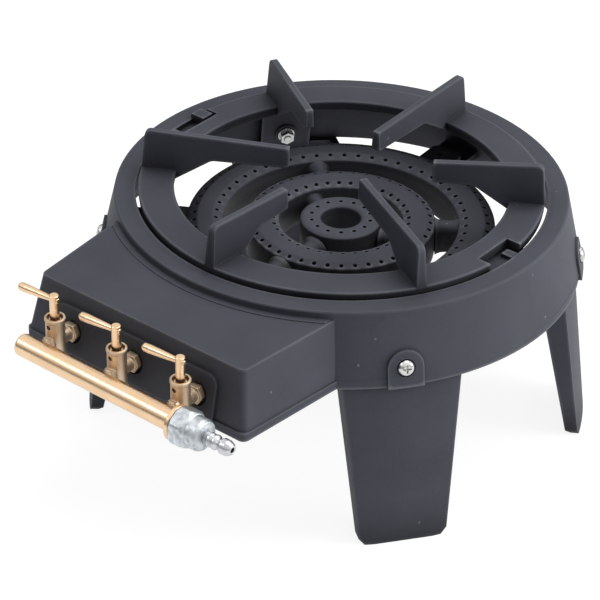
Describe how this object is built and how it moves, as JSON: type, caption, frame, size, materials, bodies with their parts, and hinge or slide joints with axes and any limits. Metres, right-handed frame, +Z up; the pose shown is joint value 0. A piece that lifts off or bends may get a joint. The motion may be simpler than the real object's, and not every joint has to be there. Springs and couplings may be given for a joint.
{
  "type": "stock pot range",
  "caption": "Low cast-iron gas range for a stock pot: concentric ring burners in a round drum, a finned grate, brass cocks with levers on a gas pipe, and splayed legs.",
  "frame": {"origin": "on the floor under the middle of the range's bounding box", "axes": "+X to the right, where the hose nipple points; -Y to the front with the cocks; +Z up"},
  "size_m": [0.3547, 0.451, 0.216],
  "materials": {
    "cast_iron_black": "matt heat-resistant black paint on sand-cast iron",
    "brass_polished": "bright turned brass",
    "brass_cast": "dull sand-cast brass",
    "zinc_cast": "mottled zinc-plated casting",
    "nipple_nickel": "bright nickel plate",
    "zinc_steel": "bright zinc plate",
    "seal_fibre": "red fibre"
  },
  "bodies": {
    "range": {"drum_casting": "cast_iron_black", "leg_front_right": "cast_iron_black", "leg_back_right": "cast_iron_black", "leg_back_left": "cast_iron_black", "leg_front_left": "cast_iron_black", "leg_screws": "zinc_steel", "leg_washers": "zinc_steel", "leg_nuts": "zinc_steel", "outer_burner_ring": "cast_iron_black", "middle_burner_ring": "cast_iron_black", "core_burner_ring": "cast_iron_black", "outer_ring_cover": "cast_iron_black", "middle_ring_cover": "cast_iron_black", "core_ring_cover": "cast_iron_black", "burner_screws": "zinc_steel", "burner_nuts": "zinc_steel", "mixing_tube_left": "cast_iron_black", "mixing_tube_center": "cast_iron_black", "mixing_tube_right": "cast_iron_black", "shutter_clips": "zinc_steel", "valve_body_left": "brass_cast", "valve_body_center": "brass_cast", "valve_body_right": "brass_cast", "gland_rings": "brass_polished", "lock_nuts": "brass_cast", "gas_jets": "brass_polished", "manifold_pipe": "brass_polished", "manifold_stopper": "brass_cast", "manifold_collar": "brass_polished", "union_nut": "zinc_cast", "union_seal": "seal_fibre", "hose_nipple": "nipple_nickel"},
    "grate": {"pot_grate": "cast_iron_black"},
    "cock_left": {"valve_plug_left": "brass_polished", "lever_left": "brass_polished"},
    "air_gate_left": {"air_shutter_left": "zinc_steel"},
    "cock_center": {"valve_plug_center": "brass_polished", "lever_center": "brass_polished"},
    "air_gate_center": {"air_shutter_center": "zinc_steel"},
    "cock_right": {"valve_plug_right": "brass_polished", "lever_right": "brass_polished"},
    "air_gate_right": {"air_shutter_right": "zinc_steel"}
  },
  "joints": [
    {"name": "grate_lift", "type": "slide", "parent": "range", "child": "grate", "axis": [0, 0, 1], "range_m": [0, 0.06]},
    {"name": "cock_left_turn", "type": "hinge", "parent": "range", "child": "cock_left", "pos_m": [-0.057, -0.19485, 0.165], "axis": [0, 0, 1], "range_deg": [0, 90]},
    {"name": "cock_center_turn", "type": "hinge", "parent": "range", "child": "cock_center", "pos_m": [0, -0.19485, 0.165], "axis": [0, 0, 1], "range_deg": [0, 90]},
    {"name": "cock_right_turn", "type": "hinge", "parent": "range", "child": "cock_right", "pos_m": [0.057, -0.19485, 0.165], "axis": [0, 0, 1], "range_deg": [0, 90]},
    {"name": "air_gate_left_turn", "type": "hinge", "parent": "range", "child": "air_gate_left", "pos_m": [-0.057, -0.15585, 0.1472], "axis": [0, 1, 0], "range_deg": [-60, 0]},
    {"name": "air_gate_center_turn", "type": "hinge", "parent": "range", "child": "air_gate_center", "pos_m": [0, -0.15585, 0.1472], "axis": [0, 1, 0], "range_deg": [-60, 0]},
    {"name": "air_gate_right_turn", "type": "hinge", "parent": "range", "child": "air_gate_right", "pos_m": [0.057, -0.15585, 0.1472], "axis": [0, 1, 0], "range_deg": [-60, 0]}
  ]
}
